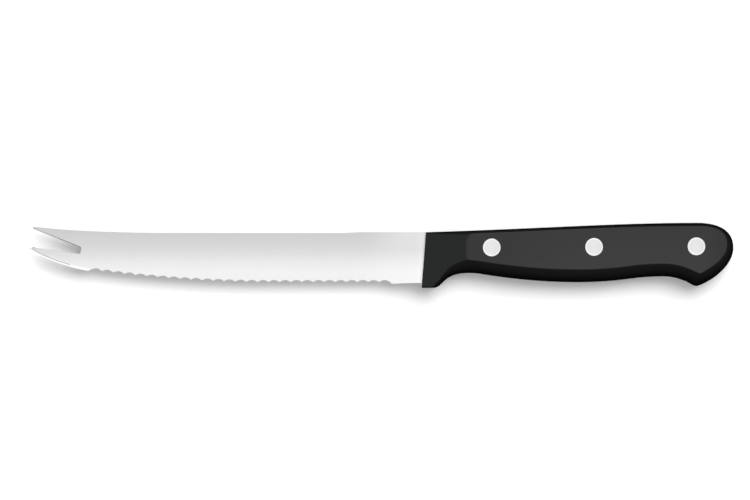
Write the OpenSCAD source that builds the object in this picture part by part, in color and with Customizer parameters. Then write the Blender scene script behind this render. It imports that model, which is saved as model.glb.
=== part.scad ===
// Tomato knife: a forked blade with scalloped teeth, its full tang riveted between two scales.
// It lies on its side. X runs from the fork to the butt, Y towards the spine, Z out of the
// blade. Lengths count from the front of the handle, drops and rises from the line of the spine.

/* [Blade] */
// Length of the blade, from the handle to the tip of the lower prong
blade_l = 140; // [125:1:160]
// Height of the blade at its teeth
blade_h = 17.6; // [17:0.1:19]
// Thickness of the steel, of the tang and of the unground heel
steel_t = 1.5; // [1.2:0.1:2]
// Thickness left at the teeth by the grind
edge_t = 0.8; // [0.6:0.1:1.1]
// Thickness of the spine at the fork
tip_t = 1.2; // [1:0.1:1.4]
// Length of the unground heel along the spine
grind_spine_l = 24; // [16:1:32]
// Length of the unground heel along the edge
grind_edge_l = 5; // [3:1:11]
// Length over which the grind fades out at the edge
grind_fade_l = 14; // [4:0.5:16]
// Width of the eased corners along the ground spine
spine_ease_w = 0.28; // [0.1:0.02:0.5]
// Depth of that easing on each side
spine_ease_t = 0.12; // [0.05:0.01:0.3]
// Length of the spine's upward sweep
sweep_l = 54; // [40:1:70]
// Rise of the upper prong's tip over the spine
tip_rise = 2.25; // [1:0.05:3]

/* [Forked tip] */
// Distance of the upper prong's tip behind the lower one's
upper_prong_back = 1.8; // [0:0.1:3]
// Drop of the lower prong's tip
lower_tip_drop = 5.4; // [4.5:0.1:6.5]
// Depth of the fork's gap
fork_l = 18.5; // [14:0.1:21]
// Drop of the gap's closed end
fork_end_drop = 5.4; // [4:0.1:6]
// Height of the gap's closed end
fork_end_h = 2.4; // [2:0.1:3]
// Radius in the upper corner of the gap
fork_round = 0.7; // [0.2:0.1:0.7]
// Radius in the lower corner of the gap
fork_round_low = 1.2; // [0.4:0.1:1.2]
// Height of the upper prong's blunt tip
prong_blunt = 1.2; // [0.8:0.1:1.5]
// Crown of the lower prong's upper side
prong_crown = 0.55; // [0:0.05:0.8]
// Length of the plain edge under the lower prong
bevel_l = 22; // [20:0.5:26]
// Width of that edge's bevel
bevel_w = 0.9; // [0.5:0.1:1.4]
// Thickness left at the bevelled edge
bevel_edge_t = 0.3; // [0.2:0.05:0.5]
// Drop of that edge where the teeth begin
bevel_end_drop = 13.8; // [13:0.1:15]

/* [Teeth] */
// Length of one tooth along the edge
tooth_pitch = 3.93; // [3:0.01:6]
// Depth of a scallop
tooth_depth = 0.7; // [0.5:0.05:1.2]
// Flat left on each point
tooth_flat = 0.3; // [0.1:0.05:0.6]
// Angle at which the flutes are ground into the far side
flute_angle = 20; // [15:1:30]
// Length of the plain heel behind the teeth
heel_l = 11.7; // [8:0.1:16]
// Drop of the plain edge, before and behind the teeth, under their points
plain_step = 0.65; // [0:0.05:0.8]
// Rise of the plain heel towards the handle
heel_rise = 0.3; // [0:0.05:0.4]
// Length of the curved part of the row of teeth
curve_l = 64; // [50:1:75]

/* [Handle] */
// Length of the handle
handle_l = 109.5; // [102:0.5:125]
// Thickness of the handle over both flats
handle_t = 14.5; // [13:0.5:17]
// Thickness of the handle at its front
front_t = 10; // [8:0.5:11]
// Length over which the sides thicken from the front to the flats
ramp_l = 16; // [12:0.5:19]
// Slant of the front, from its top to its bottom
front_lean = 1.5; // [0:0.1:3]
// Length of the guard's level bottom
guard_l = 3.4; // [2:0.1:6]
// Drop of the guard under the plain heel
guard_step = 1.45; // [0.8:0.05:2.5]
// Distance of the waist from the front
waist_x = 16; // [13:0.5:18]
// Drop of the waist
waist_drop = 14.45; // [13.5:0.05:15.5]
// Distance of the belly from the front
belly_x = 54.8; // [45:0.2:60]
// Drop of the belly
belly_drop = 17.7; // [16.5:0.1:19]
// Distance of the hollow behind the belly from the butt
hollow_back = 24.7; // [22:0.1:30]
// Drop of that hollow
hollow_drop = 15.65; // [15:0.05:16.5]
// Distance of the beak from the butt
beak_back = 12.95; // [11:0.05:14]
// Drop of the beak
beak_drop = 19.05; // [18:0.05:20.5]
// Drop of the rearmost point
butt_drop = 5.45; // [4:0.05:7]
// Rise of the back towards the butt
back_rise = 3.3; // [2:0.1:4.5]
// Distance of the back's highest point from the butt
shoulder_back = 13; // [11:0.5:15]

/* [Rounded bands] */
// Width of the rounded band along the belly
low_band = 4.8; // [3:0.1:5]
// Width of the rounded band along the back
top_band = 1.35; // [0.8:0.05:2.5]
// Width of the rounded band round the butt
butt_band = 2.5; // [1.2:0.1:3]
// Width of the bands at the front of the handle
front_band = 0.5; // [0.3:0.1:1]
// Slope of a band where it leaves the upright rim
band_foot = 62; // [50:1:75]
// Slope of a band where it meets the flat
band_head = 22; // [12:1:30]
// Distance of the flat's lower corner behind the beak
corner_back = 1.6; // [0.5:0.1:3]

/* [Rivets] */
// Diameter of the heads
head_d = 6.35; // [5.5:0.05:7.5]
// Thickness of the heads
head_t = 1.5; // [1:0.1:2]
// Outer diameter of the drilled shank
tube_d = 4.4; // [3.8:0.1:5]
// Diameter of the solid shank pressed into it
pin_d = 2.6; // [2:0.1:3]
// Distance of the front rivet from the front
front_rivet_x = 24; // [22:0.5:28]
// Distance of the rear rivet from the butt
rear_rivet_back = 13.1; // [11.5:0.1:15]
// Drop of the front rivet
rivet_drop = 5.4; // [4.8:0.1:6]
// Rise of each rivet over the one in front of it
rivet_rise = 0.2; // [0:0.05:0.4]

/* [Clearances] */
// Play of shanks and heads in the holes of the scales and the tang
hole_play = 0.1; // [0.05:0.05:0.3]
// Play of the solid shank in the drilled one
press_play = 0.02; // [0.01:0.01:0.05]
// Room between a shank's end and what it points at
end_play = 0.5; // [0.3:0.1:1]

/* [Hidden] */
$fn = 48;
past = 1; // how far a cutting shape runs past what it cuts
reach = blade_l + handle_l;

// Places along the handle
plain_drop = blade_h + plain_step;
guard_drop = plain_drop + guard_step;
front_low = [-front_lean / 2, -guard_drop];
front_top = [front_lean / 2, 0];
guard_end = [guard_l, -guard_drop];
waist = [waist_x, -waist_drop];
belly = [belly_x, -belly_drop];
hollow = [handle_l - hollow_back, -hollow_drop];
beak = [handle_l - beak_back, -beak_drop];
butt = [handle_l, -butt_drop];
shoulder = [handle_l - shoulder_back, back_rise];

// The same places on the edge of the flat
shoulder_slide = 1.2;
flat_hollow = hollow + [0, low_band];
flat_beak = beak + [corner_back, low_band];
flat_butt = butt + [-butt_band, butt_band / 2];
flat_shoulder = shoulder - [shoulder_slide * top_band, top_band];

// Where each S of the belly is steepest, as a share of its length
belly_share = 0.12;
hollow_share = 0.6;
beak_share = 0.87;

// How far the other curves follow their ends, as lengths and as shares of their spans
guard_share = 0.29;
waist_share = 0.77;
back_share = [0.45, 0.42];
shoulder_share = 0.3;
under_butt = 0.54;
over_butt = 1.02;
under_flat = 0.58;
over_flat = 1.15;
beak_out = [3.1, 0.55];
corner_out = [1.3, 1.1];
shoulder_out = [2, 0];
flat_shoulder_out = [3, 0];
prong_out = [1.5, -2.1];
prong_back = 10;

// Places along the blade
tip = [-blade_l, -lower_tip_drop];
upper_tip = [tip.x + upper_prong_back, tip_rise];
sweep_share = 0.36;
spine_start = [sweep_l - blade_l, 0];
spine_bend = [mix(upper_tip.x, spine_start.x, sweep_share), 0];
nose_lean = [0.06, -1];
nose_out = [-0.5, -0.55];
crown_share = 0.54;
curve_share = 0.49;
bevel_end = [bevel_l - blade_l, -bevel_end_drop];
curve_start = bevel_end + [0, plain_step];
curve_end = [curve_start.x + curve_l, -blade_h];
curve_bend = [mix(curve_start.x, curve_end.x, curve_share), -blade_h];
fork_end_x = fork_l - blade_l;

// Curves. Each is a list of points that leaves out its own last one.
function mix(a, b, t) = a + (b - a) * t;
function line(a, b, n) = [for (i = [0 : n - 1]) mix(a, b, i / n)];
function bend_at(a, c, b, t) = mix(mix(a, c, t), mix(c, b, t), t);
function bend(a, c, b, n) = [for (i = [0 : n - 1]) bend_at(a, c, b, i / n)];
function bow(a, c, d, b, n) =
    [for (i = [0 : n - 1]) mix(bend_at(a, c, d, i / n), bend_at(c, d, b, i / n), i / n)];
// An S between two level ends, steepest at the share s of its length
function sway_at(t, s) = t < s ? t * t / s : 1 - (1 - t) * (1 - t) / (1 - s);
function sway(a, b, s, n) =
    [for (i = [0 : n - 1]) [mix(a.x, b.x, i / n), mix(a.y, b.y, sway_at(i / n, s))]];

// Width of a band at x: narrow at the front, full from the waist on
function band_at(x, full) =
    let (t = (x - guard_l) / (waist_x - guard_l))
    mix(front_band, full, sqrt(max(0, min(1, t))));

// Lower and upper run of the handle's outline, both from the front to the butt
front_run = concat(
    line(front_low, guard_end, 2),
    bow(guard_end, guard_end + [guard_share * (waist_x - guard_l), 0],
        waist - [waist_share * (waist_x - guard_l), 0], waist, 12),
    sway(waist, belly, belly_share, 12),
    sway(belly, hollow, hollow_share, 10)
);
lower_run = concat(
    front_run,
    sway(hollow, beak, beak_share, 10),
    bow(beak, beak + beak_out, butt + under_butt * [0, beak.y - butt.y], butt, 12),
    [butt]
);
back_l = shoulder.x - front_top.x;
back_n = 42;
upper_run = concat(
    bow(front_top, front_top + [back_share.x * back_l, back_share.y * back_rise],
        shoulder - [shoulder_share * back_l, 0], shoulder, back_n),
    bow(shoulder, shoulder + shoulder_out, butt + over_butt * [0, shoulder.y - butt.y], butt, 16),
    [butt]
);
// The same runs along the edge of the flat, point for point
flat_lower_run = concat(
    [for (p = front_run) p + [0, band_at(p.x, low_band)]],
    sway(flat_hollow, flat_beak, beak_share, 10),
    bow(flat_beak, flat_beak + corner_out,
        flat_butt + under_flat * [0, flat_beak.y - flat_butt.y], flat_butt, 12),
    [flat_butt]
);
flat_upper_run = concat(
    [for (i = [0 : back_n - 1])
        let (p = upper_run[i])
        p + [(flat_shoulder.x - shoulder.x) * i / back_n, -band_at(p.x, top_band)]],
    bow(flat_shoulder, flat_shoulder + flat_shoulder_out,
        flat_butt + over_flat * [0, flat_shoulder.y - flat_butt.y], flat_butt, 16),
    [flat_butt]
);
last = len(lower_run) - 1;
// One run out to the butt and the other one back
function round_trip(low, up) = concat(low, [for (j = [last - 1 : -1 : 0]) up[j]]);

// Half the handle's thickness at x: a ramp at the front that rounds into the flat
ramp_round_share = 0.15;
flat_z = handle_t / 2;
ramp_rise = (handle_t - front_t) / 2 / ramp_l;
ramp_round = ramp_round_share * ramp_l;
function top_at(x) =
    let (d = ramp_l + ramp_round - x)
    d <= 0 ? flat_z
        : d < 2 * ramp_round ? flat_z - ramp_rise * d * d / (4 * ramp_round)
        : flat_z - ramp_rise * (ramp_l - x);

// Line of the tooth points, and its slope
slope_step = 0.5;
function edge_t_at(x) =
    let (b = 2 * (curve_bend.x - curve_start.x))
    let (a = curve_end.x - curve_start.x - b)
    let (d = max(0, x - curve_start.x))
    2 * d / (b + sqrt(b * b + 4 * a * d));
function edge_y(x) =
    x >= curve_end.x ? -blade_h : bend_at(curve_start, curve_bend, curve_end, edge_t_at(x)).y;
function edge_slope(x) = atan((edge_y(x + slope_step) - edge_y(x - slope_step)) / (2 * slope_step));

// The grind, as half the blade's thickness at a point of the ground face and, where the grind
// fades out towards the heel, of its slope back up to the steel's own face
wedge = (steel_t - edge_t) / 2 / blade_h;
taper = (steel_t - tip_t) / 2 / (blade_l - grind_spine_l);
function half_t(x, y) = steel_t / 2 + wedge * y + taper * (x + grind_spine_l);
fade_rise = (steel_t / 2 - half_t(-grind_edge_l - grind_fade_l, -blade_h)) / grind_fade_l;
fade_lean = fade_rise * (grind_spine_l - grind_edge_l) / blade_h;
function fade_t(x, y) = steel_t / 2 + fade_lean * y + fade_rise * (x + grind_spine_l);
function face_t(x, y) = min(steel_t / 2, max(half_t(x, y), fade_t(x, y)));

// The fork's side of the spine, and the plain edge under the lower prong
spine_run = bend(spine_start, spine_bend, upper_tip, 20);
edge_in = (curve_bend - curve_start) / norm(curve_bend - curve_start);
prong_run = bow(tip, tip + prong_out, bevel_end - prong_back * edge_in, bevel_end, 20);

tooth_n = floor((blade_l - bevel_l - heel_l) / tooth_pitch);
function tooth_x(i) = -heel_l - (i + 0.5) * tooth_pitch;
rivet_pitch = (handle_l - front_rivet_x - rear_rivet_back) / 2;

// Puts what is drawn from the front of the handle over the middle of the knife's box
module laid()
    translate([-(handle_l - blade_l) / 2, (max(guard_drop, beak_drop) - back_rise) / 2, handle_t / 2])
        children();

// The faces between rings of n points that stand one behind the other
function walls(n, m) = [for (k = [0 : m - 2], j = [0 : n - 1], part = [0, 1])
    let (a = k * n + j, b = k * n + (j + 1) % n)
    part == 0 ? [a, a + n, b] : [b, a + n, b + n]];

// A closed skin over rings that are each made of a lower and an upper run
module skin(rings) {
    n = len(rings[0]);
    m = len(rings);
    half = (n - 1) / 2; // the butt's point, where the runs meet
    across = function(k) [for (j = [0 : half - 1])
        j == half - 1 ? [k * n + j, k * n + j + 1, k * n + n - 1 - j]
            : [k * n + j, k * n + j + 1, k * n + n - 2 - j, k * n + n - 1 - j]];
    turned = function(faces) [for (f = faces) [for (i = [len(f) - 1 : -1 : 0]) f[i]]];
    polyhedron([for (r = rings) each r], concat(across(0), turned(across(m - 1)), walls(n, m)));
}

// A closed skin over plain rings
module tube(rings) {
    n = len(rings[0]);
    m = len(rings);
    polyhedron([for (r = rings) each r], concat(
        [[for (j = [0 : n - 1]) j], [for (j = [n - 1 : -1 : 0]) (m - 1) * n + j]],
        walls(n, m)
    ));
}

// Half space over the plane that rises by p along X and by q along Y
module above(at, p, q) {
    lean = -atan(p);
    translate(at) rotate([atan(q * cos(lean)), lean, 0])
        translate([-reach, -reach, 0]) cube([2 * reach, 2 * reach, reach]);
}

// Outline of the steel, fork, edge and tang. The plain edges end in the middle of the first and
// the last scallop, whose flutes shape their ends.
module blade_outline() {
    gap_top = [fork_end_x, -fork_end_drop];
    gap_low = gap_top - [0, fork_end_h];
    nose = upper_tip + prong_blunt * nose_lean;
    along_top = (nose - gap_top) / norm(nose - gap_top);
    crown = mix(gap_low, tip, crown_share) + [0, prong_crown];
    along_low = (crown - gap_low) / norm(crown - gap_low);
    first_x = tooth_x(tooth_n - 1);
    last_x = tooth_x(0);
    polygon(concat(
        spine_run,
        bend(upper_tip, upper_tip + prong_blunt * nose_out, nose, 5),
        bend(gap_top + fork_round * along_top, gap_top, gap_top - [0, fork_round], 5),
        bend(gap_low + [0, fork_round_low], gap_low, gap_low + fork_round_low * along_low, 6),
        bend(gap_low + fork_round_low * along_low, crown, tip, 10),
        prong_run,
        [bevel_end, bevel_end + (first_x - bevel_end.x) / edge_in.x * edge_in, [first_x, edge_y(first_x)]],
        [for (p = bend(curve_start, curve_bend, curve_end, 24)) if (p.x > first_x) p],
        [[last_x, -blade_h], [last_x, -plain_drop], [-front_lean / 2, heel_rise - plain_drop]],
        round_trip(lower_run, upper_run)
    ));
}

// What one side's grinding takes off
module grind() {
    start = [-grind_spine_l, 0, steel_t / 2];
    intersection() {
        above(start, taper, wedge);
        above(start, fade_rise, fade_lean);
    }
}

// What one side loses along a path, over the width w on its left. The steel's half thickness
// on the path itself is left(p).
module edge_cut(path, w, left) {
    m = len(path) - 1;
    tube([for (i = [0 : m])
        let (a = path[max(i - 1, 0)], b = path[min(i + 1, m)])
        let (d = (b - a) / norm(b - a), inward = [-d.y, d.x])
        let (foot = left(path[i]), rise = (half_t(path[i].x, path[i].y) - foot) / w)
        [for (s = [[-past, 0], [w + past, 0], [w + past, past], [-past, past]])
            let (p = path[i] + s[0] * inward)
            [p.x, p.y, foot + s[0] * rise + s[1]]]]);
}

// The bevel under the lower prong and the eased spine, on one side
module edge_cuts() {
    edge_cut(concat(prong_run, [bevel_end, bevel_end + edge_in]), bevel_w,
        function(p) bevel_edge_t / 2);
    edge_cut(concat([[-grind_spine_l, 0]], spine_run, [upper_tip]), spine_ease_w,
        function(p) half_t(p.x, p.y) - spine_ease_t);
}

// One flute, ground up into the far side; its crossing with the near side is the scallop
module flute(x) {
    half_w = (tooth_pitch - tooth_flat) / 2;
    wheel_r = half_w * half_w / (2 * tooth_depth * sin(flute_angle));
    translate([x, edge_y(x), face_t(x, edge_y(x))])
        rotate([0, 0, edge_slope(x)])
        translate([0, tooth_depth, 0])
        rotate([-flute_angle, 0, 0])
        translate([0, 0, -wheel_r])
        rotate([90, 0, 0])
        cylinder(r = wheel_r, h = blade_h, center = true);
}

module rivet_place(i)
    translate([front_rivet_x + i * rivet_pitch, i * rivet_rise - rivet_drop, 0]) children();

module blade() color([0.83, 0.84, 0.85]) laid() difference() {
    translate([0, 0, -steel_t / 2]) linear_extrude(height = steel_t) blade_outline();
    for (side = [0, 1]) mirror([0, 0, side]) {
        grind();
        edge_cuts();
    }
    for (i = [0 : tooth_n - 1]) flute(tooth_x(i));
    for (i = [0 : 2]) rivet_place(i) cylinder(d = tube_d + hole_play, h = 2 * steel_t, center = true);
}

// One scale, over the tang's face at half its thickness
module scale_body() {
    turns = [0, 0.2, 0.4, 0.6, 0.8, 1.1];
    arc_w = sin(band_foot) - sin(band_head);
    share = function(u) (sin(band_foot) - sin(mix(band_foot, band_head, u))) / arc_w;
    fall = function(u) (cos(band_head) - cos(mix(band_foot, band_head, u))) / arc_w;
    outer = round_trip(lower_run, upper_run);
    inner = round_trip(flat_lower_run, flat_upper_run);
    rings = concat(
        [[for (p = outer) [p.x, p.y, 0]]],
        [for (u = turns) [for (j = [0 : 2 * last])
            let (p = mix(outer[j], inner[j], share(u)))
            [p.x, p.y, top_at(p.x) - fall(u) * norm(inner[j] - outer[j])]]],
        [[for (j = [0 : 2 * last])
            let (p = mix(outer[j], inner[j], share(turns[len(turns) - 1])))
            [p.x, p.y, flat_z + past]]]
    );
    ramp_end = ramp_l + ramp_round;
    difference() {
        intersection() {
            skin(rings);
            rotate([90, 0, 0]) translate([0, 0, -reach / 2]) linear_extrude(height = reach)
                polygon(concat(
                    [[handle_l + past, steel_t / 2], [handle_l + past, flat_z]],
                    [for (i = [0 : 6]) let (x = ramp_end - i * ramp_round / 3) [x, top_at(x)]],
                    [[-ramp_l, top_at(-ramp_l)], [-ramp_l, steel_t / 2]]
                ));
        }
        for (i = [0 : 2]) rivet_place(i) {
            cylinder(d = tube_d + hole_play, h = handle_t, center = true);
            translate([0, 0, flat_z - head_t]) cylinder(d = head_d + hole_play, h = head_t + past);
        }
    }
}

module left_scale() color([0.13, 0.13, 0.14]) laid() scale_body();
module right_scale() color([0.13, 0.13, 0.14]) laid() mirror([0, 0, 1]) scale_body();

// Solid half of a rivet, headed on the near side
module rivet_pin(i) color([0.8, 0.8, 0.82]) laid() rivet_place(i) {
    translate([0, 0, handle_t / 2 - head_t]) cylinder(d = head_d, h = head_t);
    translate([0, 0, head_t + end_play - handle_t / 2])
        cylinder(d = pin_d, h = handle_t - 2 * head_t - end_play);
}

// Drilled half of a rivet, headed on the far side
module rivet_tube(i) color([0.8, 0.8, 0.82]) laid() rivet_place(i) difference() {
    translate([0, 0, -handle_t / 2]) {
        cylinder(d = head_d, h = head_t);
        cylinder(d = tube_d, h = handle_t - head_t - end_play);
    }
    translate([0, 0, head_t - handle_t / 2]) cylinder(d = pin_d + press_play, h = handle_t);
}

blade();
left_scale();
right_scale();
rivet_pin(0);  // front_rivet_pin
rivet_pin(1);  // middle_rivet_pin
rivet_pin(2);  // rear_rivet_pin
rivet_tube(0);  // front_rivet_tube
rivet_tube(1);  // middle_rivet_tube
rivet_tube(2);  // rear_rivet_tube
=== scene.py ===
import math

import bmesh
import bpy
from mathutils import Matrix, Vector


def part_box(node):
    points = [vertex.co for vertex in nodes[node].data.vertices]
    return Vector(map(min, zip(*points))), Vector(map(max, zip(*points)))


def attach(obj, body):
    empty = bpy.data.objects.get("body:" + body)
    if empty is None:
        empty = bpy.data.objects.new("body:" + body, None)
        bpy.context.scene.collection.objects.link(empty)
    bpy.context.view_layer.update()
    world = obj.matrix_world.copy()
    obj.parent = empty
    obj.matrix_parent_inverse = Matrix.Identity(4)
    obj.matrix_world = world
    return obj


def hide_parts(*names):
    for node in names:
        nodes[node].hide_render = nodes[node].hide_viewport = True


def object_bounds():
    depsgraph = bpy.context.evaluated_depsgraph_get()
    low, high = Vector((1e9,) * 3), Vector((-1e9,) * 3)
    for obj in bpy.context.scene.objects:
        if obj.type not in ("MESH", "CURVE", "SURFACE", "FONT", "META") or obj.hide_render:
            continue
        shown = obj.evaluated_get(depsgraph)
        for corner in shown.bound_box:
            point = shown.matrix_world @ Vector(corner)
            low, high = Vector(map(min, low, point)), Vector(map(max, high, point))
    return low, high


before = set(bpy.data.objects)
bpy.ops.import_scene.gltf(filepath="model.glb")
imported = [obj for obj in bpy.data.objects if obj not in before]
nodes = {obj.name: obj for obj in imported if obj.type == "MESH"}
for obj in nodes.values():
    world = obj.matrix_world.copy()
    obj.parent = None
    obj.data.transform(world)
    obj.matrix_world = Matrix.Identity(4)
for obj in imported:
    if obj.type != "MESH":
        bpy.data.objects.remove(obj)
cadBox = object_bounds()
print("frame loaded:", len(nodes), "nodes")


class Val:
    # one value in a node tree, a number or a socket, with the usual operators
    def __init__(self, tree, source):
        self.tree = tree
        self.source = source

    def maths(self, operation, *others):
        node = self.tree.nodes.new("ShaderNodeMath")
        node.operation = operation
        for socket, value in zip(node.inputs, (self, *others)):
            feed(self.tree, socket, value)
        return Val(self.tree, node.outputs[0])

    def __add__(self, other):
        return self.maths("ADD", other)

    def __sub__(self, other):
        return self.maths("SUBTRACT", other)

    def __mul__(self, other):
        return self.maths("MULTIPLY", other)

    def __truediv__(self, other):
        return self.maths("DIVIDE", other)

    def __radd__(self, other):
        return Val(self.tree, other).maths("ADD", self)

    def __rsub__(self, other):
        return Val(self.tree, other).maths("SUBTRACT", self)

    def __rmul__(self, other):
        return Val(self.tree, other).maths("MULTIPLY", self)

    def __abs__(self):
        return self.maths("ABSOLUTE")


def feed(tree, socket, value):
    source = value.source if isinstance(value, Val) else value
    if isinstance(source, bpy.types.NodeSocket):
        tree.links.new(source, socket)
    else:
        socket.default_value = source


class Nodes:
    # makes the nodes of one tree
    def __init__(self, tree):
        self.tree = tree

    def node(self, kind, settings=None, **inputs):
        made = self.tree.nodes.new(kind)
        for key, value in (settings or {}).items():
            if key == "stops":
                ramp = made.color_ramp
                while len(ramp.elements) < len(value):
                    ramp.elements.new(0.5)
                for element, (place, colour) in zip(ramp.elements, value):
                    element.position = place
                    element.color = colour
            else:
                setattr(made, key, value)
        for key, value in inputs.items():
            feed(self.tree, made.inputs[key.replace("_", " ")], value)
        return made

    def value(self, kind, settings=None, output=0, **inputs):
        return Val(self.tree, self.node(kind, settings, **inputs).outputs[output])

    def place(self):
        return self.value("ShaderNodeTexCoord", output="Object")

    def axes(self, vector):
        parts = self.node("ShaderNodeSeparateXYZ", Vector=vector)
        return [Val(self.tree, parts.outputs[axis]) for axis in "XYZ"]

    # 0 below low and 1 above high, smooth between; the other way round if low is above high
    def step(self, value, low, high):
        down = low > high
        low, high = min(low, high), max(low, high)
        return self.value(
            "ShaderNodeMapRange", {"interpolation_type": "SMOOTHSTEP"}, "Result",
            Value=value, From_Min=low, From_Max=high,
            To_Min=1.0 if down else 0.0, To_Max=0.0 if down else 1.0)

    def noise(self, place, stretch, detail=3.0, roughness=0.55):
        stretched = self.value("ShaderNodeMapping", Vector=place, Scale=stretch)
        return self.value(
            "ShaderNodeTexNoise", None, "Fac",
            Vector=stretched, Scale=1.0, Detail=detail, Roughness=roughness)

    def mix(self, factor, low, high):
        made = self.node("ShaderNodeMix", {"data_type": "RGBA"})
        feed(self.tree, made.inputs["Factor"], factor)
        feed(self.tree, made.inputs[6], low)
        feed(self.tree, made.inputs[7], high)
        return Val(self.tree, made.outputs[2])

    # a colour brightened or darkened by a value
    def shade(self, colour, amount):
        made = self.node("ShaderNodeVectorMath", {"operation": "SCALE"})
        feed(self.tree, made.inputs[0], colour if isinstance(colour, Val) else colour[:3])
        feed(self.tree, made.inputs["Scale"], amount)
        return Val(self.tree, made.outputs[0])

    # 1 for what is seen, straight on or in metal and glass, and 0 for what only lights
    def seen(self):
        light = self.node("ShaderNodeLightPath")
        camera, glossy, transmitted = (
            Val(self.tree, light.outputs[name])
            for name in ("Is Camera Ray", "Is Glossy Ray", "Is Transmission Ray"))
        return camera.maths("MAXIMUM", glossy).maths("MAXIMUM", transmitted)


class Finish(Nodes):
    # a new Principled material
    def __init__(self, name, **settings):
        self.material = bpy.data.materials.new(name)
        self.material.use_nodes = True
        super().__init__(self.material.node_tree)
        self.shader = self.tree.nodes["Principled BSDF"]
        for key, value in settings.items():
            self.set(key.replace("_", " "), value)

    def set(self, socket, value):
        feed(self.tree, self.shader.inputs[socket], value)

    def bump(self, height, distance):
        self.set("Normal", self.value("ShaderNodeBump", Height=height, Strength=1.0, Distance=distance))


def mix(a, b, t):
    return a + (b - a) * t


def grey(level):
    return (level, level, level, 1)


bladeBox = [Vector(corner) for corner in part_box("blade")]
scaleBox = [Vector(corner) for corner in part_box("left_scale")]
midZ = (bladeBox[0].z + bladeBox[1].z) / 2  # the knife lies on its side, halved by this plane
flatZ = scaleBox[1].z  # the upper flat

handleShape = {
    "backRise": 0.0033,  # of the back over the spine
    "frontLean": 0.0015,
    "guardDepth": 0.0197,
    "guardLength": 0.0034,
    "guardPull": 0.29,  # how far the curve behind the guard follows it, as a share of its length
    "waist": (0.016, -0.01445),
    "waistPull": 0.77,
    "belly": (0.0548, -0.0177),
    "hollow": (0.0848, -0.01565),
    "beak": (0.09655, -0.01905),
    "swayShares": (0.12, 0.6, 0.87),  # where the three S curves of the underside are steepest
    "buttDrop": 0.00545,
    "shoulder": (0.0965, 0.0033),
    "backPulls": (0.45, 0.42, 0.3),
    "buttPulls": (0.54, 1.02),
    "beakPull": (0.0031, 0.00055),
    "shoulderPull": 0.002,
    "lowBand": 0.0048,
    "topBand": 0.00135,
    "buttBand": 0.0025,
    "shoulderSlide": 1.2,  # of the flat's shoulder towards the front, in widths of the top band
    "frontBand": 0.0005,
    "cornerBack": 0.0016,
    "cornerPull": (0.0013, 0.0011),
    "flatPulls": (0.58, 1.15),
    "flatShoulderPull": 0.003,
    "bandFoot": math.radians(72),  # slope of a band where it leaves the upright rim
    "bandHead": math.radians(20),  # and where it meets the flat
    "bandRings": 10,
    "frontDrop": 0.00225,  # of the front under the flat
    "rampLength": 0.0165,
    "rampRound": 0.0007,
    "rampCuts": 27,  # steps along the lowered front
    "rampRows": 6,  # and over each half of its width
    "flatCorner": 0.0032,  # radius of the flat's corners at its front
    "flatMiddle": -0.0058,
    "flatHalf": 0.0047,
    "pointsPerRun": (6, 24, 30, 30, 26, 30),  # along guard, waist, belly, hollow, beak and butt
}
handleFront = scaleBox[0].x + handleShape["frontLean"] / 2
spineY = scaleBox[1].y - handleShape["backRise"]
handleLength = scaleBox[1].x - handleFront


def line(a, b, n):
    return [mix(a, b, i / n) for i in range(n)]


def bow(a, c, d, b, n):
    def at(t):
        p, q, r = mix(a, c, t), mix(c, d, t), mix(d, b, t)
        return mix(mix(p, q, t), mix(q, r, t), t)
    return [at(i / n) for i in range(n)]


def sway(a, b, share, n):
    def rise(t):
        return t * t / share if t < share else 1 - (1 - t) ** 2 / (1 - share)
    return [Vector((mix(a.x, b.x, i / n), mix(a.y, b.y, rise(i / n)))) for i in range(n)]


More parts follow.
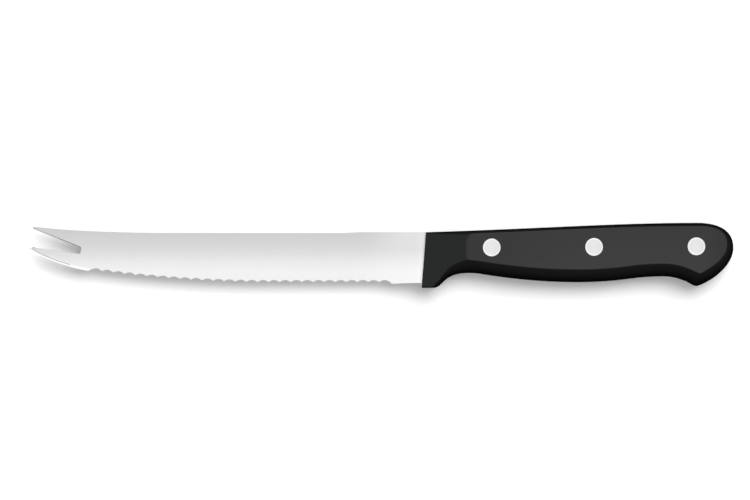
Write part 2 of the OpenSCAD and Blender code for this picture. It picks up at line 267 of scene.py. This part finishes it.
# The outline of a scale and, point for point, the edge of its flat. Both run from the front
# along the underside to the butt and back along the top; x counts from the front, y from the spine.
def scaleOutlines():
    s = handleShape
    frontLow = Vector((-s["frontLean"] / 2, -s["guardDepth"]))
    frontTop = Vector((s["frontLean"] / 2, 0))
    guardEnd = Vector((s["guardLength"], -s["guardDepth"]))
    waist, belly, hollow, beak = (Vector(s[name]) for name in ("waist", "belly", "hollow", "beak"))
    butt = Vector((handleLength, -s["buttDrop"]))
    shoulder = Vector(s["shoulder"])
    flatHollow = hollow + Vector((0, s["lowBand"]))
    flatBeak = beak + Vector((s["cornerBack"], s["lowBand"]))
    flatButt = butt + Vector((-s["buttBand"], s["buttBand"] / 2))
    flatShoulder = shoulder - Vector((s["shoulderSlide"] * s["topBand"], s["topBand"]))
    counts = s["pointsPerRun"]
    waistSpan = Vector((s["waist"][0] - s["guardLength"], 0))
    backSpan = Vector((shoulder.x - frontTop.x, 0))
    backCount = counts[1] + counts[2] + counts[3]

    def bandAt(x, full):
        t = (x - s["guardLength"]) / waistSpan.x
        return mix(s["frontBand"], full, math.sqrt(max(0, min(1, t))))

    front = (
        line(frontLow, guardEnd, counts[0])
        + bow(guardEnd, guardEnd + s["guardPull"] * waistSpan,
              waist - s["waistPull"] * waistSpan, waist, counts[1])
        + sway(waist, belly, s["swayShares"][0], counts[2])
        + sway(belly, hollow, s["swayShares"][1], counts[3])
    )
    low = (
        front
        + sway(hollow, beak, s["swayShares"][2], counts[4])
        + bow(beak, beak + Vector(s["beakPull"]),
              butt + s["buttPulls"][0] * Vector((0, beak.y - butt.y)), butt, counts[5])
    )
    flatLow = (
        [p + Vector((0, bandAt(p.x, s["lowBand"]))) for p in front]
        + sway(flatHollow, flatBeak, s["swayShares"][2], counts[4])
        + bow(flatBeak, flatBeak + Vector(s["cornerPull"]),
              flatButt + s["flatPulls"][0] * Vector((0, flatBeak.y - flatButt.y)), flatButt, counts[5])
    )
    backLift = Vector((0, s["backPulls"][1] * s["backRise"]))
    back = bow(frontTop, frontTop + s["backPulls"][0] * backSpan + backLift,
               shoulder - s["backPulls"][2] * backSpan, shoulder, backCount)
    up = back + bow(shoulder, shoulder + Vector((s["shoulderPull"], 0)),
                    butt + s["buttPulls"][1] * Vector((0, shoulder.y - butt.y)), butt, counts[5])
    slide = flatShoulder.x - shoulder.x
    flatUp = (
        [p + Vector((slide * i / backCount, -bandAt(p.x, s["topBand"]))) for i, p in enumerate(back)]
        + bow(flatShoulder, flatShoulder + Vector((s["flatShoulderPull"], 0)),
              flatButt + s["flatPulls"][1] * Vector((0, flatShoulder.y - flatButt.y)), flatButt, counts[5])
    )
    return low + [butt] + up[::-1], flatLow + [flatButt] + flatUp[::-1]


# How far the face lies under the flat at a place: nothing behind the flat's rounded front edge
def rampDrop(x, y):
    s = handleShape
    r = s["flatCorner"]
    side = min(r, max(0, abs(y - s["flatMiddle"]) - s["flatHalf"] + r))
    ahead = max(0, s["rampLength"] + r - x)
    d = math.hypot(ahead, side) - r
    slope = s["frontDrop"] / s["rampLength"]
    if d <= 0:
        return 0
    return slope * d * d / (4 * s["rampRound"]) if d < 2 * s["rampRound"] else slope * (d - s["rampRound"])


# Extrudes a closed ring of vertices and puts the new ring's vertices at places
def growRing(bm, ring, places):
    edges = [bm.edges.get(pair) for pair in zip(ring, ring[1:] + ring[:1])]
    made = bmesh.ops.extrude_edge_only(bm, edges=edges)["geom"]
    fresh = {item for item in made if isinstance(item, bmesh.types.BMVert)}
    grown = [next(e.other_vert(v) for e in v.link_edges if e.other_vert(v) in fresh) for v in ring]
    for vert, place in zip(grown, places):
        vert.co = place
    return grown


def closeRing(bm, ring):
    edges = [bm.edges.get(pair) for pair in zip(ring, ring[1:] + ring[:1])]
    bmesh.ops.contextual_create(bm, geom=edges)


def cut(bm, place, normal, within):
    faces = [f for f in bm.faces if within(f)]
    edges = {e for f in faces for e in f.edges}
    verts = {v for f in faces for v in f.verts}
    bmesh.ops.bisect_plane(bm, geom=[*faces, *edges, *verts], plane_co=place, plane_no=normal, dist=1e-7)


def meshObject(name, bm):
    mesh = bpy.data.meshes.new(name)
    bm.to_mesh(mesh)
    bm.free()
    made = bpy.data.objects.new(name, mesh)
    bpy.context.scene.collection.objects.link(made)
    return made


def shadeSmooth(piece, angle):
    for polygon in piece.data.polygons:
        polygon.use_smooth = True
    piece.data.set_sharp_from_angle(angle=math.radians(angle))


def applyModifiers(piece):
    # the piece gets the mesh that its modifiers leave
    evaluated = piece.evaluated_get(bpy.context.evaluated_depsgraph_get())
    mesh = bpy.data.meshes.new_from_object(evaluated)
    piece.modifiers.clear()
    piece.data = mesh


rivetShape = {
    "segments": 64,
    "headDiameter": 0.00635,
    "headDepth": 0.0015,
    "headEdge": 0.00012,
    "tubeDiameter": 0.0044,
    "pinDiameter": 0.0026,
    "play": 0.00005,
    "pressPlay": 0.00001,
    "sink": 0.00011,  # depth of the eased rim round each hole in the scales
    "cutterOver": 0.001,  # how far a hole's cutter stands over the flat
}
rivetNames = ("front", "middle", "rear")
rivetCentres = []
for name in rivetNames:
    low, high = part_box(name + "_rivet_pin")
    rivetCentres.append(((low[0] + high[0]) / 2, (low[1] + high[1]) / 2))


# One scale, lofted from the tang's face over the bands to the flat
def scaleMesh():
    s = handleShape
    outer, inner = scaleOutlines()
    outer = [p + Vector((handleFront, spineY)) for p in outer]
    inner = [p + Vector((handleFront, spineY)) for p in inner]
    foot, head = s["bandFoot"], s["bandHead"]
    arc = math.sin(foot) - math.sin(head)
    bm = bmesh.new()
    ring = bmesh.ops.create_circle(bm, segments=len(outer), radius=1)["verts"]
    for vert, p in zip(ring, outer):
        vert.co = (*p, scaleBox[0].z)
    closeRing(bm, ring)
    for i in range(s["bandRings"] + 1):
        angle = mix(foot, head, i / s["bandRings"])
        across = (math.sin(foot) - math.sin(angle)) / arc
        fall = (math.cos(head) - math.cos(angle)) / arc
        ring = growRing(bm, ring, [
            Vector((*mix(p, q, across), flatZ - fall * (q - p).length)) for p, q in zip(outer, inner)])
    closeRing(bm, ring)
    bmesh.ops.recalc_face_normals(bm, faces=bm.faces)
    upper = scaleBox[0].z + 1e-5
    reach = handleFront + s["rampLength"] + s["flatCorner"]
    for i in range(1, s["rampCuts"] + 1):
        x = mix(handleFront, reach, i / s["rampCuts"])
        cut(bm, (x, 0, 0), (1, 0, 0), lambda f: f.calc_center_median().z > upper)
    for i in range(-s["rampRows"], s["rampRows"] + 1):
        y = spineY + s["flatMiddle"] + s["flatHalf"] * i / s["rampRows"]
        cut(bm, (0, y, 0), (0, 1, 0),
            lambda f: f.calc_center_median().z > upper and max(v.co.x for v in f.verts) < reach + 1e-6)
    for vert in bm.verts:
        if vert.co.z > upper:
            vert.co.z -= rampDrop(vert.co.x - handleFront, vert.co.y - spineY)
    return bm


# Spins a profile of radii and heights into a closed piece that stands at centre
def spun(name, centre, profile):
    bm = bmesh.new()
    verts = [bm.verts.new((radius, 0, z)) for radius, z in profile]
    edges = [bm.edges.new(pair) for pair in zip(verts, verts[1:])]
    bmesh.ops.spin(
        bm, geom=[*verts, *edges], cent=(0, 0, 0), axis=(0, 0, 1), angle=2 * math.pi,
        steps=rivetShape["segments"], use_merge=True)
    bmesh.ops.remove_doubles(bm, verts=bm.verts, dist=1e-7)
    bmesh.ops.recalc_face_normals(bm, faces=bm.faces)
    reach = bm.verts.layers.float.new("radius")
    for vert in bm.verts:
        vert[reach] = vert.co.xy.length
    bmesh.ops.translate(bm, verts=bm.verts, vec=(*centre, 0))
    return meshObject(name, bm)


def holeCutter(centre):
    s = rivetShape
    headRadius = s["headDiameter"] / 2 + s["play"]
    shankRadius = s["tubeDiameter"] / 2 + s["play"]
    headFloor = flatZ - s["headDepth"]
    return spun("cutter", centre, [
        (0, midZ), (shankRadius, midZ), (shankRadius, headFloor), (headRadius, headFloor),
        (headRadius, flatZ - s["sink"]), (headRadius + 2 * s["sink"], flatZ + s["sink"]),
        (headRadius + 2 * s["sink"], flatZ + s["cutterOver"]), (0, flatZ + s["cutterOver"])])


def makeScale():
    piece = meshObject("scale_body", scaleMesh())
    cutters = [holeCutter(centre) for centre in rivetCentres]
    for cutter in cutters:
        modifier = piece.modifiers.new("hole", "BOOLEAN")
        modifier.object = cutter
        modifier.solver = "EXACT"
    applyModifiers(piece)
    for cutter in cutters:
        bpy.data.objects.remove(cutter)
    return piece


print("scales")
leftScale = makeScale()
leftScale.name = "handle_scale_left"
rightScale = leftScale.copy()
rightScale.data = leftScale.data.copy()
rightScale.name = "handle_scale_right"
bpy.context.scene.collection.objects.link(rightScale)
rightScale.data.transform(Matrix.Translation((0, 0, 2 * midZ)) @ Matrix.Scale(-1, 4, (0, 0, 1)))
rightScale.data.flip_normals()
for piece, node in ((leftScale, "left_scale"), (rightScale, "right_scale")):
    shadeSmooth(piece, 11)
    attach(piece, "root")
    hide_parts(node)
    print(piece.name, len(piece.data.vertices), "vertices")


# The head's outline from its middle to its underside; out is 1 on the upper side, -1 on the lower
def headProfile(face, out):
    s = rivetShape
    radius, edge = s["headDiameter"] / 2, s["headEdge"]
    turns = [math.pi / 2 * i / 4 for i in range(5)]
    return (
        [(0, face)]
        + [(radius - edge + edge * math.sin(a), face - out * edge * (1 - math.cos(a))) for a in turns]
        + [(radius, face - out * s["headDepth"])]
    )


def makePin(name, centre, foot):
    pinRadius = rivetShape["pinDiameter"] / 2
    neck = flatZ - rivetShape["headDepth"]
    return spun(name, centre, headProfile(flatZ, 1) + [(pinRadius, neck), (pinRadius, foot), (0, foot)])


def makeTube(name, centre, top):
    s = rivetShape
    outer, inner = s["tubeDiameter"] / 2, s["pinDiameter"] / 2 + s["pressPlay"]
    lowFace = 2 * midZ - flatZ
    neck = lowFace + s["headDepth"]
    return spun(name, centre, headProfile(lowFace, -1) + [
        (outer, neck), (outer, top), (inner, top), (inner, neck), (0, neck)])


print("rivets")
rivets = []
for name, centre in zip(rivetNames, rivetCentres):
    pinNode, tubeNode = name + "_rivet_pin", name + "_rivet_tube"
    pin = makePin("pin_" + name, centre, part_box(pinNode)[0][2])
    tube = makeTube("tube_" + name, centre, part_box(tubeNode)[1][2])
    for piece, node in ((pin, pinNode), (tube, tubeNode)):
        shadeSmooth(piece, 30)
        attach(piece, "root")
        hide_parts(node)
        rivets.append(piece)

bladeShape = {
    "forkEnd": -0.1028,  # the teeth begin here
    "heelFront": 0.0036,  # and the plain heel here
    "gapEase": 0.00026,  # width of the chamfer round the fork's gap
    "gapEaseSlope": 0.7,  # its depth, as a share of that
    "tipClear": 0.002,  # how far behind the lower prong's point it ends
    "creaseWidth": 0.00036,  # of the rounding along the top of the bevel under the lower prong
    "softEdge": 0.0001,  # rounding of the plain heel's edge
    "bluntTip": 0.00015,  # taken off the lower prong's point
}


# The steel of the frame, merged, with a blunted point and with the fork's and the heel's edges eased
def bladeMesh():
    s = bladeShape
    bm = bmesh.new()
    bm.from_mesh(nodes["blade"].data)
    bmesh.ops.remove_doubles(bm, verts=bm.verts, dist=1e-6)
    bmesh.ops.dissolve_limit(bm, angle_limit=math.radians(0.2), verts=bm.verts, edges=bm.edges)
    tip = min((v.co for v in bm.verts), key=lambda p: p.x).copy()
    bmesh.ops.bisect_plane(
        bm, geom=[*bm.faces, *bm.edges, *bm.verts], plane_co=(tip.x + s["bluntTip"], 0, 0),
        plane_no=(-1, 0, 0), clear_outer=True, dist=1e-7)
    bmesh.ops.holes_fill(bm, edges=[e for e in bm.edges if e.is_boundary])
    # painted shade on the eased faces that face the teeth
    burr = bm.faces.layers.float.new("burr")

    # marks the new faces that lean to the teeth's side, away from the light, for painted shade
    def mark(made, lean):
        for face in made["faces"]:
            face[burr] = 1 if face.normal.y < lean else 0

    # the line along the top of the bevel under the lower prong
    def crease(edge):
        slopes = sorted(edge.link_faces, key=lambda f: f.normal.y)
        return (edge.is_manifold and edge.verts[0].co.x < s["forkEnd"] and slopes[0].normal.y < -0.15
                and abs(slopes[0].normal.z) > 0.8 and abs(slopes[1].normal.z) > 0.99)

    eased = bmesh.ops.bevel(
        bm, geom=[e for e in bm.edges if crease(e)], offset=s["creaseWidth"], offset_type="OFFSET",
        segments=3, profile=0.5, affect="EDGES", clamp_overlap=False, material=-1)
    bm.normal_update()
    mark(eased, -0.19)

    # the edges between a face and an upright wall that pass a test of middle and outward way
    def rims(test):
        found = []
        for edge in bm.edges:
            if not edge.is_manifold:
                continue
            wall, face = sorted(edge.link_faces, key=lambda f: abs(f.normal.z))
            if abs(wall.normal.z) < 0.3 and abs(face.normal.z) > 0.97:
                if test((edge.verts[0].co + edge.verts[1].co) / 2, wall.normal):
                    found.append(edge)
        return found

    # the gap's lower side faces the spine, its end the tip, and its upper side lies over the lower prong
    def gap(middle, out):
        within = tip.x + s["tipClear"] < middle.x < s["forkEnd"] and middle.y < spineY - 0.001
        return within and (out.y > 0.2 or out.x < -0.9 or middle.y > tip.y - 0.002)

    def heel(middle, out):
        return s["heelFront"] < middle.x < scaleBox[0].x and out.y < -0.9

    chamfer = bmesh.ops.bevel(
        bm, geom=rims(gap), offset=s["gapEase"], offset_type="OFFSET", segments=1,
        profile=0.5, affect="EDGES", clamp_overlap=False, material=-1)
    bm.normal_update()
    mark(chamfer, -0.15)
    for vert in chamfer["verts"]:
        side = 1 if vert.co.z > midZ else -1
        if any(abs(f.normal.z) < 0.3 for f in vert.link_faces):
            vert.co.z += side * (1 - s["gapEaseSlope"]) * s["gapEase"]
    bmesh.ops.bevel(
        bm, geom=rims(heel), offset=s["softEdge"], offset_type="OFFSET", segments=2,
        profile=0.5, affect="EDGES", clamp_overlap=True, material=-1)
    return bm


print("blade")
blade = meshObject("knife_blade", bladeMesh())
shadeSmooth(blade, 22)
for polygon in blade.data.polygons:
    if polygon.normal.y > 0.3:
        polygon.use_smooth = False  # the spine's easing, so that it shines as one flat strip
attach(blade, "root")
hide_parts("blade")
print(blade.name, len(blade.data.vertices), "vertices")

steelLook = {
    "depth": 0.018,  # painted shade, from the spine down to the edge, over which the steel goes from dark to light
    # painted shade: its tones on the ground part and on the heel, darkest at the spine
    "ground": [
        (0.0, grey(0.64)), (0.25, grey(0.70)), (0.42, grey(0.76)), (0.62, grey(0.87)), (0.8, grey(0.92)),
        (1.0, grey(0.91)),
    ],
    "heel": [
        (0.0, grey(0.78)), (0.35, grey(0.79)), (0.5, grey(0.86)), (0.7, grey(0.94)), (0.85, grey(0.97)),
        (1.0, grey(0.96)),
    ],
    "heelFade": (-0.0085, 0.0095),
    "rootFade": (0.0118, 0.0142),  # painted light: where the steel is brightened before the handle, over the handle's dark reflection and shade
    "rootPaintedLight": 0.04,
    "paintedEdgeShadeDark": 0.68,  # painted shade: how much darker the marked faces are that lean to the teeth's side
    "easeLean": (0.28, 0.34, 0.5, 0.6),  # spineward part of the normal, on the spine's easing alone
    "easeEnd": (-0.0142, -0.0078),  # where painted shade darkens the easing before it ends
    "easeDark": 0.34,
    "roughness": 0.22,
    "grain": (9000, 60, 2000),  # grinding lines across the blade, per metre
    "grainDepth": 0.0000004,
    "grainRough": 0.12,
}


def groundSteel():
    finish = Finish("groundSteel", Metallic=1.0)
    place = finish.place()
    x, y = finish.axes(place)[:2]
    # painted shade: the steel is darker towards the spine
    down = (spineY - y) / steelLook["depth"]
    ground = finish.value("ShaderNodeValToRGB", {"stops": steelLook["ground"]}, "Color", Fac=down)
    heel = finish.value("ShaderNodeValToRGB", {"stops": steelLook["heel"]}, "Color", Fac=down)
    tone = finish.mix(finish.step(x, *steelLook["heelFade"]), ground, heel)
    # painted shade on the faces marked in the mesh
    burr = finish.value("ShaderNodeAttribute", {"attribute_name": "burr"}, "Fac")
    lean = finish.axes(finish.value("ShaderNodeNewGeometry", output="Normal"))[1]
    slopes = steelLook["easeLean"]
    easing = finish.step(lean, *slopes[:2]) * finish.step(lean, *slopes[:1:-1])
    # painted shade where the spine's easing ends
    paintedEaseShade = easing * finish.step(x, *steelLook["easeEnd"])
    # painted light before the handle; painted shade on the marked faces and where the spine's easing ends
    lift = 1 + finish.step(x, *steelLook["rootFade"]) * steelLook["rootPaintedLight"]
    lift = lift - burr * steelLook["paintedEdgeShadeDark"] - paintedEaseShade * steelLook["easeDark"]
    finish.set("Base Color", finish.shade(tone, lift))
    grain = finish.noise(place, steelLook["grain"], 2.0)
    finish.set("Roughness", steelLook["roughness"] + (grain - 0.5) * steelLook["grainRough"])
    finish.bump(grain, steelLook["grainDepth"])
    return finish.material


handleLook = {
    # one black plastic: the front block and the bands are painted darker than the flat, the bands darkest
    # where steepest
    "flatShade": 0.0195,
    "blockShade": (0.0157, 0.0171, 0.0166, 1),
    "bandShade": 0.0093,
    "rimShade": 0.0012,  # painted shade of the bands where they leave the upright rim
    "flatGleam": 0.4,  # painted sheen: how much lighter the flat is behind the middle, as a share
    "gleam": ((0.028, 0.075), (0.1135, 0.121)),  # where along the knife that grows and fades
    "gleamRows": (0.009, -0.006),  # it grows from the back down
    "gleamLeast": 0.45,
    "streaks": 0.24,
    "streakGrain": (12, 700, 700),  # polishing lines along the flat, per metre
    "flatEdge": (0.0002, 0.00005),  # heights under the flat between which its lighter, streaked and coated face begins
    "blockLean": (0.975, 0.985),  # upright part of the normal from which a face is the front block
    "bandLean": (0.2, 0.95),  # and between which a band goes from its rim's painted shade to its own
    "flatCoat": 0.5,
    "blockCoat": 0.1,
    "bandCoat": 0.0,
    "roughness": 0.5,
    "coatRoughness": 0.3,
}


def handleBlack():
    finish = Finish("handleBlack", **{"Specular IOR Level": 0.0, "Roughness": handleLook["roughness"],
                                      "Coat Roughness": handleLook["coatRoughness"]})
    place = finish.place()
    x, y, z = finish.axes(place)
    height = abs(z - midZ)
    top = flatZ - midZ
    flat = finish.step(height, *(top - under for under in handleLook["flatEdge"]))
    lean = finish.axes(finish.value("ShaderNodeNewGeometry", output="Normal"))[2]
    block = finish.step(abs(lean), *handleLook["blockLean"])
    # painted shade: the block and bands darker than the flat, the bands darkest where they turn steep
    band = finish.mix(
        finish.step(abs(lean), *handleLook["bandLean"]),
        grey(handleLook["rimShade"]), grey(handleLook["bandShade"]))
    banded = finish.mix(block, band, handleLook["blockShade"])
    grow, fade = handleLook["gleam"]
    least = handleLook["gleamLeast"]
    # painted sheen on the flat behind its middle
    gleam = finish.step(x, *grow) * finish.step(x, fade[1], fade[0]) * (
        least + (1 - least) * finish.step(y, *handleLook["gleamRows"]))
    streak = finish.noise(place, handleLook["streakGrain"], 4.0)
    level = 1 + gleam * handleLook["flatGleam"] + (streak - 0.5) * handleLook["streaks"]
    finish.set("Base Color", finish.mix(flat, banded, finish.shade(grey(handleLook["flatShade"]), level)))
    coat = handleLook["bandCoat"] + block * (handleLook["blockCoat"] - handleLook["bandCoat"])
    finish.set("Coat Weight", coat + flat * (handleLook["flatCoat"] - handleLook["blockCoat"]))
    return finish.material


rivetLook = {
    "shade": 0.84,
    "rimShade": 0.98,
    "rim": (0.00235, 0.00285),  # distance from the middle at which the polished rim begins
    "rings": 5500,  # turning marks, per metre from the middle out
    "ringShade": 0.1,
    "ringRough": 0.08,
    "roughness": 0.25,
}


def rivetMetal():
    finish = Finish("rivetMetal", Metallic=1.0)
    reach = finish.value("ShaderNodeAttribute", {"attribute_name": "radius"}, "Fac")
    along = finish.value("ShaderNodeCombineXYZ", X=reach)
    ring = finish.noise(along, (rivetLook["rings"], 0, 0), 1.0)
    rim = finish.step(reach, *rivetLook["rim"])
    tone = finish.mix(rim, grey(rivetLook["shade"]), grey(rivetLook["rimShade"]))
    finish.set("Base Color", finish.shade(tone, 1 + (ring - 0.5) * (1 - rim) * rivetLook["ringShade"]))
    finish.set("Roughness", rivetLook["roughness"] + (ring - 0.5) * rivetLook["ringRough"])
    return finish.material


def dress(piece, material):
    piece.data.materials.clear()
    piece.data.materials.append(material)


steel = groundSteel()
black = handleBlack()
rivet = rivetMetal()
dress(blade, steel)
for piece in (leftScale, rightScale):
    dress(piece, black)
for piece in rivets:
    dress(piece, rivet)
print("finishes")

cameraView = {"distance": 6.0, "frameWidth": 0.2655, "offCentre": (-0.002025, 0.0019)}


def makeCamera():
    low, high = (Vector(corner) for corner in cadBox)
    middle = (low + high) / 2
    camera = bpy.data.cameras.new("camera")
    camera.lens = camera.sensor_width * cameraView["distance"] / cameraView["frameWidth"]
    made = bpy.data.objects.new("camera", camera)
    made.location = (
        middle.x + cameraView["offCentre"][0],
        middle.y + cameraView["offCentre"][1],
        middle.z + cameraView["distance"],
    )
    bpy.context.scene.collection.objects.link(made)
    bpy.context.scene.camera = made


keyLamp = {"lean": 25, "aside": 20, "softness": 44, "strength": 2.6}  # angles in degrees


def makeKeyLamp():
    lamp = bpy.data.lights.new("key", "SUN")
    lamp.angle = math.radians(keyLamp["softness"])
    lamp.energy = keyLamp["strength"]
    made = bpy.data.objects.new("key", lamp)
    made.rotation_euler = (-math.radians(keyLamp["lean"]), math.radians(keyLamp["aside"]), 0)
    made.visible_glossy = False
    bpy.context.scene.collection.objects.link(made)


floorLook = {
    "size": 60,
    "under": 0.0001,  # below the knife, so that the two don't share a plane
    "shade": 0.97,
    "bounceShade": 0.35,  # for light that the floor throws back under the knife
    "glow": 0.05,  # what it adds where it is seen, so that lit paper comes out white
}


def makeFloor():
    bpy.ops.mesh.primitive_plane_add(size=floorLook["size"], location=(0, 0, -floorLook["under"]))
    floor = bpy.context.object
    floor.name = "floor"
    finish = Finish("paper", **{"Roughness": 1.0, "Specular IOR Level": 0.0, "Emission Color": (1, 1, 1, 1)})
    bounced = finish.step(finish.value("ShaderNodeLightPath", output="Diffuse Depth"), 0, 1)
    finish.set("Base Color", finish.mix(bounced, grey(floorLook["shade"]), grey(floorLook["bounceShade"])))
    finish.set("Emission Strength", floorLook["glow"] * finish.seen())
    dress(floor, finish.material)


sky = {
    "horizon": 0.04,
    "horizonSeen": 0.7,  # what metal sees there, where the backdrop stands
    "backdropTop": (36, 48),  # degrees over the horizon between which that ends
    "spineSide": 0.15,
    "teethSide": 0.4,
    "lifted": (5, 32),  # degrees over the horizon: where its darkness ends
    "panel": 1.0,
    "panelWide": (12, 24),  # degrees along the knife: full and faded
    "panelFar": (58, 68),
    "panelNear": (14, 24),
    "card": 1.25,  # a fill card on the teeth's side, in degrees off the zenith and round it
    "cardLow": (15, 22),
    "cardHigh": (54, 60),
    "cardAside": (-60, 4),
    "cardFade": 8,
    "strip": 1.9,  # a strip of light behind the spine, for its eased edge
    "stripSlants": (36, 43, 60, 68),
    "stripAside": (16, 26),
}


def makeWorld():
    world = bpy.data.worlds.new("studio")
    bpy.context.scene.world = world
    world.use_nodes = True
    studio = Nodes(world.node_tree)
    x, y, z = studio.axes(studio.value("ShaderNodeTexCoord", output="Generated"))
    over = studio.step(z, 0.0, 0.1)

    def tangent(degrees):
        return math.tan(math.radians(degrees))

    acrossX = abs(x) / z.maths("MAXIMUM", 0.001)
    acrossY = y / z.maths("MAXIMUM", 0.001)
    panel = (
        studio.step(acrossX, tangent(sky["panelWide"][1]), tangent(sky["panelWide"][0]))
        * studio.step(acrossY, tangent(sky["panelFar"][1]), tangent(sky["panelFar"][0]))
        * studio.step(acrossY, -tangent(sky["panelNear"][1]), -tangent(sky["panelNear"][0]))
        * over
    )
    slant = z.maths("ARCCOSINE") / math.radians(1)
    bearing = x.maths("ARCTAN2", -1.0 * y) / math.radians(1)
    backBearing = abs(x.maths("ARCTAN2", y)) / math.radians(1)
    strip = (
        studio.step(slant, *sky["stripSlants"][:2])
        * studio.step(slant, *sky["stripSlants"][:1:-1])
        * studio.step(backBearing, *sky["stripAside"][::-1])
    )
    card = (
        studio.step(slant, *sky["cardLow"])
        * studio.step(slant, sky["cardHigh"][1], sky["cardHigh"][0])
        * studio.step(bearing, sky["cardAside"][0] - sky["cardFade"], sky["cardAside"][0])
        * studio.step(bearing, sky["cardAside"][1] + sky["cardFade"], sky["cardAside"][1])
    )
    side = sky["teethSide"] + studio.step(y, -0.5, 0.5) * (sky["spineSide"] - sky["teethSide"])
    lifted = studio.step(z, *(math.sin(math.radians(angle)) for angle in sky["lifted"]))
    ambient = sky["horizon"] + lifted * (side - sky["horizon"])
    low, high = (math.sin(math.radians(angle)) for angle in sky["backdropTop"])
    backdrop = studio.step(z, high, low) * studio.seen()
    ambient = ambient + backdrop * (sky["horizonSeen"] - ambient)
    strength = ambient + panel * (sky["panel"] - ambient)
    strength = strength + card * (sky["card"] - strength)
    strength = strength + strip * (sky["strip"] - strength)
    background = world.node_tree.nodes["Background"]
    feed(world.node_tree, background.inputs["Color"], (1, 1, 1, 1))
    feed(world.node_tree, background.inputs["Strength"], strength)


makeCamera()
makeFloor()
makeWorld()
makeKeyLamp()
bpy.context.scene.view_settings.view_transform = "Standard"
print("camera, floor and light")
